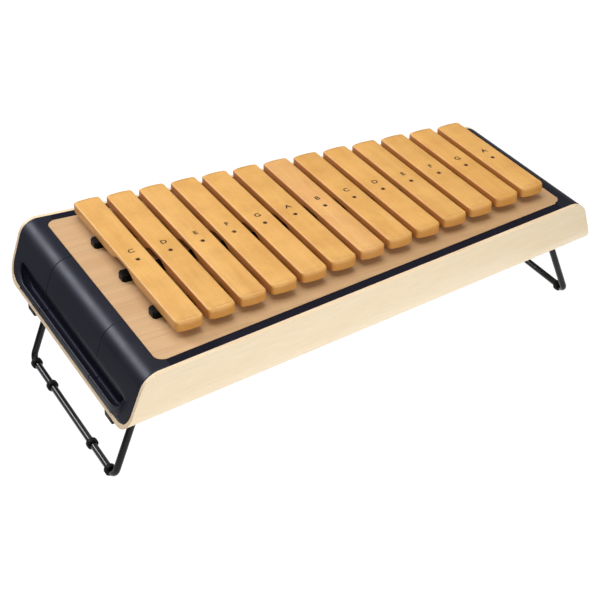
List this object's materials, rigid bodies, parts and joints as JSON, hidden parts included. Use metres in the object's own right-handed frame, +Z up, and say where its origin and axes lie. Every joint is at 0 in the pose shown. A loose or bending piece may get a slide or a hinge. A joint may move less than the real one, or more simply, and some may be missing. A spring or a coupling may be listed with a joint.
{
  "type": "xylophone",
  "caption": "Table-top alto xylophone: wooden bars over a flat soundboard in a tapered bent-plywood body with black moulded ends and folding rod legs.",
  "frame": {"origin": "on the floor under the middle of the soundboard", "axes": "+X along the instrument towards the short bars, +Y away from the player, +Z up"},
  "size_m": [0.778, 0.42, 0.2194],
  "materials": {
    "birch_plywood": "satin clear lacquer on pale plywood",
    "soundboard_wood": "satin lacquer",
    "frame_wood": "sawn and sanded",
    "bar_wood": "satin lacquer",
    "black_plastic": "fine moulded texture",
    "black_steel": "satin black powder coat",
    "steel": "darkened zinc",
    "rubber": "matt",
    "felt": "pressed felt"
  },
  "bodies": {
    "root": {"bar_pins": "steel", "body_shell": "birch_plywood", "brace_1": "frame_wood", "brace_2": "frame_wood", "brace_3": "frame_wood", "bracket_screws": "steel", "centre_rail": "black_plastic", "frame_screws": "steel", "front_rail": "black_plastic", "front_rail_pad": "felt", "left_end_front_corner": "black_plastic", "left_end_middle": "black_plastic", "left_end_rear_corner": "black_plastic", "left_end_strip": "frame_wood", "left_front_bracket": "black_steel", "left_rail_ends": "black_plastic", "left_rear_bracket": "black_steel", "rear_rail": "black_plastic", "rear_rail_pad": "felt", "right_end_front_corner": "black_plastic", "right_end_middle": "black_plastic", "right_end_rear_corner": "black_plastic", "right_end_strip": "frame_wood", "right_front_bracket": "black_steel", "right_rail_ends": "black_plastic", "right_rear_bracket": "black_steel", "rim_front": "black_plastic", "rim_rear": "black_plastic", "rubber_pads": "rubber", "soundboard": "soundboard_wood"},
    "left_leg_frame": {"left_leg": "black_steel", "left_leg_rings": "rubber"},
    "right_leg_frame": {"right_leg": "black_steel", "right_leg_rings": "rubber"},
    "tone_bar_a1": {"bar_a1": "bar_wood"},
    "tone_bar_a2": {"bar_a2": "bar_wood"},
    "tone_bar_b1": {"bar_b1": "bar_wood"},
    "tone_bar_c1": {"bar_c1": "bar_wood"},
    "tone_bar_c2": {"bar_c2": "bar_wood"},
    "tone_bar_d1": {"bar_d1": "bar_wood"},
    "tone_bar_d2": {"bar_d2": "bar_wood"},
    "tone_bar_e1": {"bar_e1": "bar_wood"},
    "tone_bar_e2": {"bar_e2": "bar_wood"},
    "tone_bar_f1": {"bar_f1": "bar_wood"},
    "tone_bar_f2": {"bar_f2": "bar_wood"},
    "tone_bar_g1": {"bar_g1": "bar_wood"},
    "tone_bar_g2": {"bar_g2": "bar_wood"}
  },
  "joints": [
    {"name": "left_leg_fold", "type": "hinge", "parent": "root", "child": "left_leg_frame", "pos_m": [-0.3425, 0, 0.1039], "axis": [0, -1, 0], "range_deg": [0, 111.8]},
    {"name": "right_leg_fold", "type": "hinge", "parent": "root", "child": "right_leg_frame", "pos_m": [0.3425, 0, 0.1039], "axis": [0, 1, 0], "range_deg": [0, 111.8]},
    {"name": "lift_c1", "type": "slide", "parent": "root", "child": "tone_bar_c1", "axis": [0, 0, 1], "range_m": [0, 0.03]},
    {"name": "lift_d1", "type": "slide", "parent": "root", "child": "tone_bar_d1", "axis": [0, 0, 1], "range_m": [0, 0.03]},
    {"name": "lift_e1", "type": "slide", "parent": "root", "child": "tone_bar_e1", "axis": [0, 0, 1], "range_m": [0, 0.03]},
    {"name": "lift_f1", "type": "slide", "parent": "root", "child": "tone_bar_f1", "axis": [0, 0, 1], "range_m": [0, 0.03]},
    {"name": "lift_g1", "type": "slide", "parent": "root", "child": "tone_bar_g1", "axis": [0, 0, 1], "range_m": [0, 0.03]},
    {"name": "lift_a1", "type": "slide", "parent": "root", "child": "tone_bar_a1", "axis": [0, 0, 1], "range_m": [0, 0.03]},
    {"name": "lift_b1", "type": "slide", "parent": "root", "child": "tone_bar_b1", "axis": [0, 0, 1], "range_m": [0, 0.03]},
    {"name": "lift_c2", "type": "slide", "parent": "root", "child": "tone_bar_c2", "axis": [0, 0, 1], "range_m": [0, 0.03]},
    {"name": "lift_d2", "type": "slide", "parent": "root", "child": "tone_bar_d2", "axis": [0, 0, 1], "range_m": [0, 0.03]},
    {"name": "lift_e2", "type": "slide", "parent": "root", "child": "tone_bar_e2", "axis": [0, 0, 1], "range_m": [0, 0.03]},
    {"name": "lift_f2", "type": "slide", "parent": "root", "child": "tone_bar_f2", "axis": [0, 0, 1], "range_m": [0, 0.03]},
    {"name": "lift_g2", "type": "slide", "parent": "root", "child": "tone_bar_g2", "axis": [0, 0, 1], "range_m": [0, 0.03]},
    {"name": "lift_a2", "type": "slide", "parent": "root", "child": "tone_bar_a2", "axis": [0, 0, 1], "range_m": [0, 0.03]}
  ]
}
